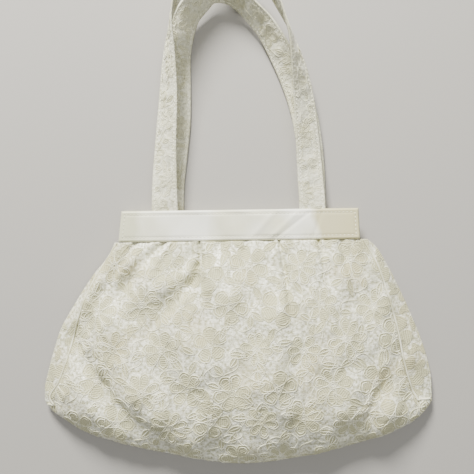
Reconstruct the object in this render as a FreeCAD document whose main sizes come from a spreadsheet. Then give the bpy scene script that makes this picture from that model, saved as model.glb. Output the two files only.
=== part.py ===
import FreeCAD, Part
import math
import os
import Sketcher

# Lace hobo bag lying on its back: +X right, +Y to the mouth and straps, +Z up.
# The origin is on the back's rest face, 80 mm above the bottom seam.

doc = FreeCAD.newDocument("hobo_bag")
V = FreeCAD.Vector
Rule = Sketcher.Constraint

# ---------------------------------------------------------------- driving sizes
SIZES = {
    "body_width": 297.0,
    "body_height": 170.0,
    "body_depth": 32.0,
    "seam_below_origin": 88.0,
    "side_fold_height": 5.0,
    "lace_thickness": 0.9,
    "satin_thickness": 0.5,
    "lining_thickness": 0.5,
    "layer_gap": 0.1,
    "seam_gap": 0.4,
    "band_width": 182.0,
    "band_height": 23.6,
    "mouth_depth": 13.0,
    "cover_thickness": 0.8,
    "stiffener_thickness": 1.2,
    "facing_thickness": 0.6,
    "strap_width": 20.0,
    "strap_thickness": 1.5,
    "strap_drop": 190.0,
    "strap_spacing": 112.0,
    "snap_diameter": 18.0,
    "snap_plate": 3.2,
    "stud_diameter": 6.0,
    "stud_length": 1.6,
    "washer_diameter": 15.0,
    "pocket_width": 120.0,
    "pocket_height": 90.0,
}
sheet = doc.addObject("Spreadsheet::Sheet", "sizes")
sheet.Label = "sizes"
for number, name in enumerate(SIZES, start=1):
    sheet.set("A%d" % number, name)
    sheet.set("B%d" % number, str(SIZES[name]))
    sheet.setAlias("B%d" % number, name)
doc.recompute()


def size(name):
    """The sheet's value of one driving size."""
    return float(sheet.get(name))


def tied(formula):
    """Write each [name] in a formula as the sheet's cell."""
    for name in SIZES:
        formula = formula.replace("[" + name + "]", "sizes." + name)
    return formula


def value(formula):
    """The number a formula gives, used for a first guess before solving."""
    probe = doc.getObject("probe") or doc.addObject("App::FeaturePython", "probe")
    if not hasattr(probe, "Reading"):
        probe.addProperty("App::PropertyFloat", "Reading")
    probe.setExpression("Reading", tied(formula))
    probe.recompute()
    return probe.Reading


def set_box(item, low, high):
    """Tie a box's corner and lengths to formulas of its low and high corners."""
    for axis, prop, a, b in zip("xyz", ("Length", "Width", "Height"), low, high):
        item.setExpression(prop, tied("((%s) - (%s)) * 1 mm" % (b, a)))
        item.setExpression("Placement.Base." + axis, tied("(%s) * 1 mm" % a))


def box(label, low, high):
    """A box between two corners given as formulas."""
    item = doc.addObject("Part::Box", label)
    item.Label = label
    set_box(item, low, high)
    return item


def disc(label, radius, centre, height):
    """An upright cylinder, its centre's x, y and low z given as formulas."""
    item = doc.addObject("Part::Cylinder", label)
    item.Label = label
    item.setExpression("Radius", tied("(%s) * 1 mm" % radius))
    item.setExpression("Height", tied("(%s) * 1 mm" % height))
    for axis, formula in zip("xyz", centre):
        item.setExpression("Placement.Base." + axis, tied("(%s) * 1 mm" % formula))
    return item


def join(label, pieces):
    """One solid made of several touching pieces."""
    item = doc.addObject("Part::MultiFuse", label)
    item.Label = label
    item.Shapes = pieces
    return item


def cut(label, base, tool):
    """One shape with another taken away."""
    item = doc.addObject("Part::Cut", label)
    item.Label = label
    item.Base = base
    item.Tool = tool
    return item


def common(label, base, tool):
    """The part of one shape that lies inside another."""
    item = doc.addObject("Part::Common", label)
    item.Label = label
    item.Base = base
    item.Tool = tool
    return item


# ---------------------------------------------------------------- sketches
def mirrored_outline(label, right_side, crown=None):
    """A closed outline mirrored about the upright axis.

    right_side lists the right-hand corners from low to high as two formulas each.
    The last two corners are joined by a line, or by an arc through the crown.
    """
    sketch = doc.addObject("Sketcher::SketchObject", label)
    points = [V(value(x), value(y), 0) for x, y in right_side]
    mirror = [V(-p.x, p.y, 0) for p in points]
    ring = points + mirror[::-1]
    total = len(ring)
    last = len(points) - 1
    for index in range(total):
        start = ring[index]
        end = ring[(index + 1) % total]
        if index == last and crown:
            top = V(0, value(crown), 0)
            sketch.addGeometry(Part.Arc(start, top, end), False)
        else:
            sketch.addGeometry(Part.LineSegment(start, end), False)
    # An arc that runs anticlockwise keeps its first point as its start.
    for index in range(total):
        sketch.addConstraint(Rule("Coincident", index, 2, (index + 1) % total, 1))
    for index in range(len(points)):
        twin = total - 1 - index
        sketch.addConstraint(Rule("Symmetric", index, 1, twin, 1, -2))
        for kind, formula, guess in (("DistanceX", right_side[index][0], points[index].x),
                                     ("DistanceY", right_side[index][1], points[index].y)):
            place = sketch.addConstraint(Rule(kind, -1, 1, index, 1, guess))
            sketch.setExpression("Constraints[%d]" % place, tied("(%s) * 1 mm" % formula))
    if crown:
        point = sketch.addGeometry(Part.Point(V(0, value(crown), 0)), True)
        sketch.addConstraint(Rule("PointOnObject", point, 1, last))
        sketch.addConstraint(Rule("PointOnObject", point, 1, -2))
        place = sketch.addConstraint(Rule("DistanceY", -1, 1, point, 1, value(crown)))
        sketch.setExpression("Constraints[%d]" % place, tied("(%s) * 1 mm" % crown))
    return sketch


# ---------------------------------------------------------------- the soft body
# Each row is one cut across the body, as shares of the body's sizes: height,
# half width at the side fold, half width at the seam, seam level, crown level.
SECTIONS = [
    (0.005, 0.130, 0.106, 0.240, 0.290),
    (0.052, 0.400, 0.355, 0.262, 0.440),
    (0.120, 0.725, 0.660, 0.300, 0.650),
    (0.180, 0.870, 0.808, 0.330, 0.775),
    (0.286, 0.997, 0.916, 0.375, 0.938),
    (0.428, 0.985, 0.858, 0.406, 1.000),
    (0.619, 0.910, 0.803, 0.422, 0.920),
    (0.809, 0.800, 0.747, 0.415, 0.700),
    (1.000, 0.657, 0.640, 0.375, 0.406),
]
MOUTH_LEVEL = "([body_height] - [seam_below_origin])"


def body_solid(label, inset):
    """The body's outer form, drawn in by a distance on every side."""
    cuts = []
    # The outermost form starts just under the floor, so that the trim leaves a flat face.
    base = "-0.1" if inset == "0" else inset
    for number, (share, fold, seam, level, crown) in enumerate(SECTIONS):
        x_fold = "[body_width] / 2 * %s - %s" % (fold, inset)
        x_seam = "[body_width] / 2 * %s - %s" % (seam, inset)
        z_seam = "[body_depth] * %s - %s" % (level, inset)
        z_top = "[body_depth] * %s - %s" % (crown, inset)
        if number == len(SECTIONS) - 1:
            z_seam = "[mouth_depth] - 1 - %s" % inset
            z_top = "[mouth_depth] - %s" % inset
        right = [(x_seam, base), (x_fold, "[side_fold_height]"), (x_seam, z_seam)]
        section = mirrored_outline("%s_cut_%d" % (label, number), right, z_top)
        section.Placement.Rotation = FreeCAD.Rotation(V(1, 0, 0), 90)
        reach = "[body_height] * %s - [seam_below_origin]" % share
        if number == 0:
            reach += " + %s" % inset
        if number == len(SECTIONS) - 1 and inset != "0":
            reach += " + 1"
        section.setExpression("Placement.Base.y", tied("(%s) * 1 mm" % reach))
        cuts.append(section)
    loft = doc.addObject("Part::Loft", label)
    loft.Label = label
    loft.Sections = cuts
    loft.Solid = True
    loft.Ruled = False
    loft.MaxDegree = 3
    return loft


def panel_zone(label, grow, low, high):
    """An upright block over the front panel's outline, grown by a distance."""
    half = "[body_width] / 2 * %s + " + grow
    level = "[body_height] * %s - [seam_below_origin]"
    right = [(half % 1.05, level % -0.08),
             (half % 1.05, (level % 0.285) + " + " + grow),
             (half % 0.916, (level % 0.285) + " + " + grow),
             (half % 0.862, level % 0.400),
             (half % 0.816, level % 0.552),
             (half % 0.764, level % 0.733),
             (half % 0.694, level % 0.918),
             (half % 0.640, level % 1.0),
             (half % 0.620, level % 1.08)]
    outline = mirrored_outline(label + "_outline", right)
    outline.setExpression("Placement.Base.z", tied("(%s) * 1 mm" % low))
    block = doc.addObject("Part::Extrusion", label)
    block.Label = label
    block.Base = outline
    block.DirMode = "Custom"
    block.Dir = V(0, 0, 1)
    block.Solid = True
    block.setExpression("LengthFwd", tied("((%s) - (%s)) * 1 mm" % (high, low)))
    return block


front_zone = panel_zone("front_zone", "-[seam_gap] / 2",
                        "[side_fold_height] + [seam_gap] / 2", "[body_depth] * 2")
back_zone = panel_zone("back_zone", "-[seam_gap] / 2",
                       "-5", "[side_fold_height] - [seam_gap] / 2")
middle_zone = panel_zone("middle_zone", "[seam_gap] / 2", "-6", "[body_depth] * 2.1")
right_half = box("right_half",
                 ("20", "-[seam_below_origin] - 20", "-5"),
                 ("[body_width]", MOUTH_LEVEL, "[body_depth] * 2"))
left_half = box("left_half",
                ("-[body_width]", "-[seam_below_origin] - 20", "-5"),
                ("-20", MOUTH_LEVEL, "[body_depth] * 2"))
right_zone = cut("right_zone", right_half, middle_zone)
left_zone = cut("left_zone", left_half, middle_zone)
trim_block = box("trim_block",
                 ("-[body_width]", "-[seam_below_origin] - 30", "0"),
                 ("[body_width]", MOUTH_LEVEL, "[body_depth] * 3"))

LAYERS = [
    ("lace_panel", "lace", "0", "[lace_thickness]"),
    ("satin_panel", "satin",
     "([lace_thickness] + [layer_gap])",
     "([lace_thickness] + [layer_gap] + [satin_thickness])"),
    ("lining", "lining",
     "([lace_thickness] + [layer_gap] * 4 + [satin_thickness])",
     "([lace_thickness] + [layer_gap] * 4 + [satin_thickness] + [lining_thickness])"),
]
nodes = []
for panel_word, gusset_word, outside, inside in LAYERS:
    outer = body_solid(gusset_word + "_outer", outside)
    inner = body_solid(gusset_word + "_inner", inside)
    hollow = cut(gusset_word + "_hollow", outer, inner)
    shell = common(gusset_word + "_shell", hollow, trim_block)
    nodes.append(common("front_" + panel_word, shell, front_zone))
    nodes.append(common("back_" + panel_word, shell, back_zone))
    nodes.append(common("left_gusset_" + gusset_word, shell, left_zone))
    nodes.append(common("right_gusset_" + gusset_word, shell, right_zone))


# ---------------------------------------------------------------- the two bands
BAND_LOW = MOUTH_LEVEL + " + [seam_gap]"
BAND_HIGH = MOUTH_LEVEL + " + [band_height]"
BAND_MIDDLE = MOUTH_LEVEL + " + [band_height] / 2"
STIFF_LOW = "[cover_thickness] + [layer_gap]"
STIFF_HIGH = STIFF_LOW + " + [stiffener_thickness]"
FACING_LOW = STIFF_HIGH + " + [layer_gap]"
FACING_HIGH = FACING_LOW + " + [facing_thickness]"


def band_plate(label, margin, low, high):
    """One layer of a band with rounded corners."""
    plate = box(label + "_blank",
                ("-[band_width] / 2 + %s" % margin, BAND_LOW + " + %s" % margin, low),
                ("[band_width] / 2 - %s" % margin, BAND_HIGH + " - %s" % margin, high))
    doc.recompute()
    upright = [number for number, edge in enumerate(plate.Shape.Edges, start=1)
               if edge.BoundBox.ZLength > 0.9 * plate.Shape.BoundBox.ZLength]
    rounded = doc.addObject("Part::Fillet", label)
    rounded.Label = label
    rounded.Base = plate
    rounded.Edges = [(number, 1.5, 1.5) for number in upright]
    return rounded


def prong_slots(label, low, high, slack):
    """The two flat legs of a snap half, or the slots they pass through."""
    legs = []
    for side in (-1, 1):
        near = "%d * 4 - 1.6 - %s" % (side, slack)
        far = "%d * 4 + 1.6 + %s" % (side, slack)
        legs.append(box("%s_%s" % (label, "left" if side < 0 else "right"),
                        (near, BAND_MIDDLE + " - 0.3 - %s" % slack, low),
                        (far, BAND_MIDDLE + " + 0.3 + %s" % slack, high)))
    return legs


def band(side):
    """The cover, stiffener and facing of one band, with the slots for its snap."""
    front = side == "front"

    def levels(low, high):
        if front:
            return "[mouth_depth] - (%s)" % high, "[mouth_depth] - (%s)" % low
        return low, high

    cover = band_plate(side + "_band", "0", *levels("0", "[cover_thickness]"))
    core = levels(STIFF_LOW, STIFF_HIGH)
    blank = band_plate(side + "_stiffener_plate", "0.8", *core)
    hole = disc(side + "_washer_hole", "[washer_diameter] / 2 + 0.5",
                ("0", BAND_MIDDLE, core[0] + " - 1"), "[stiffener_thickness] + 2")
    stiffener = cut(side + "_band_stiffener", blank, hole)
    skin = levels(FACING_LOW, FACING_HIGH)
    lining = band_plate(side + "_facing_plate", "0.2", *skin)
    slots = prong_slots(side + "_facing_slot", skin[0] + " - 1", skin[1] + " + 1", "0.2")
    facing = cut(side + "_band_facing", lining, join(side + "_facing_slots", slots))
    return [cover, stiffener, facing]


nodes += band("front")
nodes += band("back")


# ---------------------------------------------------------------- the magnetic snap
def washer(side, low):
    """The plate behind the stiffener that a snap half's legs fold over."""
    blank = disc(side + "_washer_blank", "[washer_diameter] / 2",
                 ("0", BAND_MIDDLE, low), "0.8")
    slots = prong_slots(side + "_washer_slot", low + " - 1", low + " + 2", "0.2")
    return cut(side + "_snap_washer", blank, join(side + "_washer_slots", slots))


FRONT_FACE = "[mouth_depth] - (%s)" % FACING_HIGH
male_low = FRONT_FACE + " - [snap_plate] - 0.05"
male_plate = disc("male_plate", "[snap_diameter] / 2",
                  ("0", BAND_MIDDLE, male_low), "[snap_plate]")
stud = disc("male_stud", "[stud_diameter] / 2",
            ("0", BAND_MIDDLE, male_low + " - [stud_length]"), "[stud_length] + 0.5")
male_legs = prong_slots("male_leg", male_low + " + [snap_plate] - 0.5",
                        "[mouth_depth] - [cover_thickness] - 0.2", "0")
nodes.append(join("snap_stud_half", [male_plate, stud] + male_legs))
nodes.append(washer("front", "[mouth_depth] - [cover_thickness] - 1.1"))

female_low = FACING_HIGH + " + 0.05"
female_plate = disc("female_plate", "[snap_diameter] / 2",
                    ("0", BAND_MIDDLE, female_low), "[snap_plate]")
female_legs = prong_slots("female_leg", "[cover_thickness] + 0.2",
                          female_low + " + 0.5", "0")
female_blank = join("female_blank", [female_plate] + female_legs)
socket = disc("female_socket", "[stud_diameter] / 2 + 1.0",
              ("0", BAND_MIDDLE, female_low + " + [snap_plate] - 2"), "4")
nodes.append(cut("snap_socket_half", female_blank, socket))
nodes.append(washer("back", "[cover_thickness] + 0.3"))


# ---------------------------------------------------------------- the slip pocket
pocket_low = LAYERS[2][3] + " + 0.2"
nodes.append(box("slip_pocket",
                 ("-[pocket_width] / 2", "[body_height] * 0.933 - [seam_below_origin]"
                  " - [pocket_height]", pocket_low),
                 ("[pocket_width] / 2", "[body_height] * 0.933 - [seam_below_origin]",
                  pocket_low + " + 0.5")))


# ---------------------------------------------------------------- the two straps
# Each row is one cut across a strap: x as a share of half the spacing, reach as a
# share of the drop, level of the strap's lower edge in mm, and its lean in degrees.
FRONT_STRAP = [
    (-1.000, 0.003, 10.8, 0), (-0.998, 0.105, 8.8, 12), (-0.979, 0.247, 7.0, 28),
    (-0.930, 0.447, 7.0, 40), (-0.905, 0.600, 8.6, 56), (-0.868, 0.721, 12.0, 78),
    (-0.757, 0.824, 15.6, 92), (-0.582, 0.903, 15.6, 100), (-0.357, 0.955, 14.8, 103),
    (-0.107, 0.979, 13.8, 104), (0.143, 0.961, 13.8, 103), (0.330, 0.911, 14.0, 101),
    (0.489, 0.826, 14.6, 94), (0.625, 0.737, 14.6, 83), (0.732, 0.653, 13.6, 69),
    (0.811, 0.568, 11.4, 52), (0.886, 0.447, 8.2, 33), (0.945, 0.247, 7.2, 17),
    (0.975, 0.105, 8.8, 5), (0.989, 0.003, 10.8, 0),
]
BACK_STRAP = [
    (-0.946, 0.003, 0.7, 0), (-0.929, 0.105, 0.7, -3), (-0.870, 0.247, 0.7, -6),
    (-0.821, 0.389, 0.7, -9), (-0.814, 0.500, 0.7, -11), (-0.811, 0.616, 0.8, -15),
    (-0.750, 0.716, 1.0, -21), (-0.650, 0.789, 1.6, -32), (-0.482, 0.834, 2.4, -45),
    (-0.321, 0.866, 3.4, -58), (-0.143, 0.861, 3.8, -62), (0.043, 0.832, 3.6, -60),
    (0.218, 0.779, 3.2, -56), (0.384, 0.726, 2.6, -50), (0.562, 0.639, 1.8, -40),
    (0.723, 0.547, 1.2, -27), (0.850, 0.453, 0.8, -16), (0.939, 0.347, 0.7, -9),
    (0.996, 0.221, 0.7, -4), (1.018, 0.105, 0.7, -1), (1.018, 0.003, 0.7, 0),
]


def strap_section(label):
    """A flat rectangle across a strap, centred on its own origin."""
    right = [("[strap_width] / 2", "-[strap_thickness] / 2"),
             ("[strap_width] / 2", "[strap_thickness] / 2")]
    return mirrored_outline(label, right)


def strap(label, stations, lift):
    """A twisted strap drawn through a row of cuts, raised as a formula says."""
    spacing = size("strap_spacing")
    drop = size("strap_drop")
    line = [V(x * spacing / 2, reach * drop, 0) for x, reach, level, lean in stations]
    sections = []
    for number, (x, reach, level, lean) in enumerate(stations):
        if number == 0:
            along = V(0, 1, 0)
        elif number == len(stations) - 1:
            along = V(0, -1, 0)
        else:
            along = (line[number + 1] - line[number - 1]).normalize()
        flat = V(along.y, -along.x, 0)
        tilt = math.radians(lean)
        across = flat * math.cos(tilt) + V(0, 0, math.sin(tilt))
        section = strap_section("%s_cut_%d" % (label, number))
        turn = FreeCAD.Rotation(across, along.cross(across), along, "ZXY")
        section.Placement = FreeCAD.Placement(V(0, 0, 0), turn)
        rise = abs(math.sin(tilt)) / 2
        stand = abs(math.cos(tilt)) / 2
        formulas = ("[strap_spacing] / 2 * %s" % x,
                    MOUTH_LEVEL + " + [band_height] + 0.2 + [strap_drop] * %s" % reach,
                    "%s + %s + [strap_width] * %.6f + [strap_thickness] * %.6f"
                    % (lift, level, rise, stand))
        for axis, formula in zip("xyz", formulas):
            section.setExpression("Placement.Base." + axis, tied("(%s) * 1 mm" % formula))
        sections.append(section)
    loft = doc.addObject("Part::Loft", label)
    loft.Label = label
    loft.Sections = sections
    loft.Solid = True
    loft.Ruled = True
    return loft


nodes.append(strap("front_strap", FRONT_STRAP, "[mouth_depth] - 13"))
nodes.append(strap("back_strap", BACK_STRAP, "0"))

# ---------------------------------------------------------------- check and write
doc.recompute()
faults = []
for item in doc.Objects:
    if "Invalid" in item.State or "Error" in item.State:
        faults.append("%s state %s" % (item.Label, item.State))
for node in nodes:
    shape = node.Shape
    if shape.isNull() or not shape.isValid() or len(shape.Solids) != 1:
        faults.append("%s solids %d" % (node.Label, len(shape.Solids)))
if faults:
    raise RuntimeError("; ".join(faults))
os.makedirs("parts", exist_ok=True)
for node in nodes:
    node.Shape.exportStep("parts/" + node.Label + ".step")
    bounds = node.Shape.BoundBox
    print("%-24s x %.1f..%.1f y %.1f..%.1f z %.1f..%.1f" % (
        node.Label, bounds.XMin, bounds.XMax, bounds.YMin, bounds.YMax,
        bounds.ZMin, bounds.ZMax))
print(len(nodes), "nodes written")
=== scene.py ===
import bpy
import bmesh
import math
import numpy as np
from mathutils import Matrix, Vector


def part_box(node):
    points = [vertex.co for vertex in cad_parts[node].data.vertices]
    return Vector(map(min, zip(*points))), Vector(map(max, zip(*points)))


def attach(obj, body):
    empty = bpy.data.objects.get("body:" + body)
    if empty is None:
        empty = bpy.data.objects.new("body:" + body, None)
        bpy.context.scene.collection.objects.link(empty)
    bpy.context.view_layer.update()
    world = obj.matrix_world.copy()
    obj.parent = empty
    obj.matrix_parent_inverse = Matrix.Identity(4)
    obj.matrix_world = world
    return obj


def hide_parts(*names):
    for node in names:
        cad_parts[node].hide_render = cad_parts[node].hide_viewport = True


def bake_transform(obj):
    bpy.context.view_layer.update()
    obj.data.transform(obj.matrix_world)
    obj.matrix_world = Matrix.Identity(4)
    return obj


# A lace and satin hobo bag lying on its back. Sizes are in millimetres until a
# mesh is written. Cloth is a height over the floor, so one rule places each layer.

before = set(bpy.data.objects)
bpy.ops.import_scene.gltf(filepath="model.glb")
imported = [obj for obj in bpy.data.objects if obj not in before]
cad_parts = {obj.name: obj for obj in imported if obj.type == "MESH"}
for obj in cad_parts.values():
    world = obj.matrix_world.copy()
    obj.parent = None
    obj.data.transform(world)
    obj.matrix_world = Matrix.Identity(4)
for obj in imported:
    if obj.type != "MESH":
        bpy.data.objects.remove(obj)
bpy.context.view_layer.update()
MM = 0.001

BAND_LOW, BAND_HIGH = [Vector(corner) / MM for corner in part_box("front_band")]
BACK_LOW = Vector(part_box("back_lace_panel")[0]) / MM
BOTTOM_ROLL = 1.0
BAND_GAP = 0.4
SEAM_Y = BACK_LOW.y - BOTTOM_ROLL
MOUTH_Y = BAND_LOW.y - BAND_GAP
TALL = MOUTH_Y - SEAM_Y
HALF_WIDE = 150
FOLD_Z = 5.0
MOUTH_Z = BAND_HIGH.z


# ---------------------------------------------------------------- small tools
def rule(points):
    """A smooth line through chosen (where, value) points that never overshoots."""
    where = np.array([p[0] for p in points], float)
    value = np.array([p[1] for p in points], float)
    step = np.diff(where)
    slope = np.diff(value) / step
    lean = np.zeros(len(points))
    lean[0] = slope[0]
    lean[-1] = slope[-1]
    same_way = slope[1:] * slope[:-1] > 0
    mean = 2 * slope[1:] * slope[:-1] / np.where(same_way, slope[1:] + slope[:-1], 1)
    lean[1:-1] = np.where(same_way, mean, 0)

    def read(at):
        at = np.clip(at, where[0], where[-1])
        k = np.clip(np.searchsorted(where, at, side="right") - 1, 0, len(step) - 1)
        t = (at - where[k]) / step[k]
        start = (1 + 2 * t) * (1 - t) ** 2 * value[k] + t * (1 - t) ** 2 * step[k] * lean[k]
        end = t * t * (3 - 2 * t) * value[k + 1] - t * t * (1 - t) * step[k] * lean[k + 1]
        return start + end
    return read


def ease(x):
    """A smooth step from 0 to 1."""
    x = np.clip(x, 0, 1)
    return x * x * (3 - 2 * x)


def ripple(x, y, wave, seed, count=7):
    """Soft uneven waves of about one length, between about -1 and 1."""
    dice = np.random.default_rng(seed)
    total = 0
    for _ in range(count):
        turn = dice.uniform(0, math.tau)
        length = wave * dice.uniform(0.7, 1.5)
        along = x * math.cos(turn) + y * math.sin(turn)
        total = total + np.sin(along * math.tau / length + dice.uniform(0, math.tau))
    return total / math.sqrt(count)


# ---------------------------------------------------------------- the body's form
# Half widths are chosen by height over the bottom seam.
RIGHT_EDGE = rule([(0, 0), (0.8, 13), (2, 25), (4.5, 42), (7.5, 58), (10.5, 72), (14, 87),
                   (17.5, 99), (21.5, 113), (26, 123), (31, 132), (39, 141), (47, 145.6),
                   (62, 145.4), (77, 142.8), (92, 138.4), (123, 126), (154, 111),
                   (165, 104), (170, 98)])
LEFT_EDGE = rule([(0, 0), (1.2, 14), (2.6, 25), (5.6, 42), (9, 58), (12, 73), (15.5, 87),
                  (19, 100), (23, 113), (28, 124.5), (34.6, 134.4), (43, 146), (51, 151),
                  (58, 151), (73, 148), (89, 143.4), (104, 138.4), (119, 130), (149, 110),
                  (158, 102), (164, 98.6), (170, 96)])
RIGHT_SEAM = rule([(0, 0), (0.8, 12), (4.5, 38), (7.5, 53), (14, 81), (21.5, 105), (31, 121),
                   (48, 132.5), (55, 129), (78, 122), (102, 117.6), (125, 111.5),
                   (153, 102.5), (170, 93)])
LEFT_SEAM = rule([(0, 0), (1.2, 13), (5.6, 38), (9, 53), (15.5, 81), (23, 105), (34.6, 127),
                  (48, 142), (54, 145), (65, 138), (81, 131.4), (103, 125.4), (128, 116.5),
                  (149, 106), (170, 92)])
CROWN = rule([(0, 5), (0.8, 8), (3, 11.5), (8, 15.5), (18, 21), (29, 25.5), (48, 30.5),
              (73, 32), (105, 29.5), (138, 22.5), (158, 16.2), (170, MOUTH_Z - 0.9)])
SEAM_LEVEL = rule([(0, 5), (0.8, 6.4), (12, 9), (48, 11.5), (73, 13), (105, 13.5),
                   (138, 13.2), (170, MOUTH_Z - 1.4)])
FOOT = 48.0

# Each fold has the points of its line, then its depth and its half width at each.
FOLDS = [
    ([(-56, 82), (-66, 72), (-76, 60), (-88, 46), (-104, 30), (-114, 14)],
     [2.8, 3.4, 3.8, 3.6, 2.4, 0.3], [1.6, 3.0, 4.6, 6.0, 8, 10]),
    ([(-30, 82), (-28.7, 68), (-33, 53), (-48, 38), (-66, 22), (-82, 2)],
     [2.8, 3.4, 4.2, 4.4, 3.0, 0.3], [1.1, 2.0, 4.4, 6.5, 9, 12]),
    ([(29.6, 82), (32.3, 63), (35.2, 42), (36, 28), (38, 6), (44, -18)],
     [2.6, 2.9, 2.5, 1.9, 1.4, 0.2], [1.0, 1.4, 2.4, 5, 9, 12]),
    ([(58.9, 82), (61.6, 73), (63, 60), (66, 44)],
     [2.2, 2.2, 1.6, 0.3], [1.2, 2.2, 4, 6]),
    ([(76, 82), (79, 65), (86, 46), (95, 22)],
     [1.4, 1.9, 1.5, 0.2], [1.8, 3.2, 5, 7]),
    ([(-78, 82), (-92, 62), (-106, 40), (-116, 16), (-126, -10)],
     [1.2, 1.8, 2.4, 2.2, 0.4], [2.0, 3.0, 4.5, 6, 8]),
    ([(4, 82), (3, 66), (-4, 48)], [0.8, 0.8, 0.1], [3.0, 5.0, 8]),
    ([(-122, 6), (-112, -12), (-98, -30), (-82, -46), (-64, -58)],
     [0.6, 3.2, 4.2, 3.4, 0.4], [4.5, 6, 7, 7, 7]),
    ([(112, -8), (104, -30), (92, -48), (72, -62)],
     [0.5, 2.3, 2.6, 0.3], [6, 7, 7, 7]),
    ([(24, -26), (14, -46), (6, -68)], [0.3, 2.0, 0.3], [7, 8, 8]),
    ([(-20, -8), (-34, -34), (-40, -60)], [0.2, 1.4, 0.3], [8, 9, 9]),
]


def by_side(x, left, right):
    """The right side's value where x is over 0, and the left side's elsewhere."""
    return np.where(x > 0, right, left)


def edge_at(x, up):
    """Half the body's width on x's side."""
    return by_side(x, LEFT_EDGE(up), RIGHT_EDGE(up))


def seam_at(x, up):
    """How far out the gusset's seam lies on x's side."""
    return by_side(x, LEFT_SEAM(up), RIGHT_SEAM(up))


def beside_fold(x, y, line, depths, widths):
    """Distance from a fold's line, which side it is, and the fold's depth and width there."""
    nearest = np.full_like(x, 1e9)
    side = np.zeros_like(x)
    depth = np.zeros_like(x)
    width = np.ones_like(x)
    for k in range(len(line) - 1):
        start = np.array(line[k], float)
        run = np.array(line[k + 1], float) - start
        reach = math.hypot(*run)
        t = ((x - start[0]) * run[0] + (y - start[1]) * run[1]) / reach ** 2
        t = np.clip(t, 0 if k else -9, 1)
        dx = x - start[0] - t * run[0]
        dy = y - start[1] - t * run[1]
        away = np.hypot(dx, dy)
        closer = away < nearest
        nearest = np.where(closer, away, nearest)
        cross = (dx * run[1] - dy * run[0]) / reach
        side = np.where(closer, np.sign(cross), side)
        inside = np.clip(t, 0, 1)
        depth = np.where(closer, depths[k] + (depths[k + 1] - depths[k]) * inside, depth)
        width = np.where(closer, widths[k] + (widths[k + 1] - widths[k]) * inside, width)
    return nearest, side, depth, width


def fold_drop(x, y):
    """How far the folds draw the cloth in, less the soft roll that stands beside each."""
    total = np.zeros_like(x)
    for line, depths, widths in FOLDS:
        nearest, side, depth, width = beside_fold(x, y, line, depths, widths)
        # The cloth falls in sharply on one side and rolls up softly on the other.
        narrow = np.where(side * np.sign(line[0][0] + 0.1) > 0, 0.62, 1.4) * width
        total += depth * np.exp(-(nearest / narrow) ** 2)
        total -= 0.45 * depth * np.exp(-((nearest - 2.1 * width) / (1.2 * width)) ** 2)
    return total


def front_height(x, y):
    """The front cloth's height over the floor at a place on the plan."""
    up = np.clip(y - SEAM_Y, 0, TALL)
    edge = np.maximum(edge_at(x, up), 1e-3)
    seam = np.maximum(seam_at(x, up), 1e-3)
    crown = CROWN(up)
    level = SEAM_LEVEL(up)
    across = np.clip(np.abs(x) / seam, 0, 1)
    wall = level + (crown - level) * (1 - across ** 2.4)
    out = np.clip((np.abs(x) - seam) / np.maximum(edge - seam, 1e-3), 0, 1)
    wall = wall - 0.9 * np.clip(1 - (seam - np.abs(x)) / 1.8, 0, 1) ** 2
    gusset = FOLD_Z + (level - 1.2 - FOLD_Z) * (1 - out) ** 0.75
    high = np.where(np.abs(x) <= seam, wall, gusset)
    low = FOLD_Z + (crown - FOLD_Z) * (1 - np.clip(np.abs(x) / edge, 0, 1) ** 2.3) ** 0.62
    share = ease((up - 38) / 16)
    z = low * (1 - share) + high * share
    calm = ease((edge - np.abs(x)) / 14) * ease(up / 14)
    z = z - fold_drop(x, y) * calm
    near_mouth = 0.35 + 0.65 * ease((TALL - up) / 30)
    z = z + calm * near_mouth * 1.6 * ripple(x, y, 54, 3)
    z = z + calm * 0.62 * ripple(x, y * 0.7, 22, 5)
    z = z + calm * 0.14 * ripple(x, y, 9, 8)
    return z


def back_height(x, y):
    """The back cloth's height over the floor: flat, and rolled up at its edges."""
    up = np.clip(y - SEAM_Y, 0, TALL)
    edge = np.maximum(edge_at(x, up), 1e-3)
    out = np.clip((np.abs(x) / edge - 0.86) / 0.14, 0, 1) ** 1.7
    end = np.clip(1 - up / 9, 0, 1) ** 1.7
    z = FOLD_Z * (1 - (1 - out) * (1 - end))
    calm = (1 - out) * (1 - end)
    return z + calm * 0.18 * (1 + ripple(x, y, 40, 12)) ** 2 * 0.5


# ---------------------------------------------------------------- meshes
def grid(name, columns, rows):
    """A flat sheet of squares whose corners run from 0 to 1 each way."""
    bm = bmesh.new()
    bmesh.ops.create_grid(bm, x_segments=columns, y_segments=rows, size=0.5)
    bmesh.ops.translate(bm, verts=bm.verts, vec=(0.5, 0.5, 0))
    mesh = bpy.data.meshes.new(name)
    bm.to_mesh(mesh)
    bm.free()
    return mesh


def read_points(mesh):
    """A mesh's points as rows."""
    flat = np.empty(len(mesh.vertices) * 3)
    mesh.vertices.foreach_get("co", flat)
    return flat.reshape(-1, 3)


def write_points(mesh, points):
    """Move a mesh's points to rows of millimetres."""
    mesh.vertices.foreach_set("co", np.asarray(points, float).ravel() * MM)
    mesh.update()


def add_cloth_map(mesh, across, along):
    """Store where each point lies on the flat cloth, in decimetres."""
    layer = mesh.uv_layers.new(name="cloth")
    corners = np.empty(len(mesh.loops), int)
    mesh.loops.foreach_get("vertex_index", corners)
    flat = np.stack([across[corners], along[corners]], axis=1) * 0.01
    layer.data.foreach_set("uv", flat.ravel())


def add_reading(mesh, name, values):
    """Store one value for each point, for a material to read."""
    layer = mesh.attributes.new(name, "FLOAT", "POINT")
    layer.data.foreach_set("value", np.asarray(values, float))


def add_lace(mesh, lace, across, along):
    """Store how deep each point lies in a motif, and its place across the ribs."""
    inside, rib = lace.read(across, along)
    add_reading(mesh, "motif", inside)
    add_reading(mesh, "rib", rib)


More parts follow.
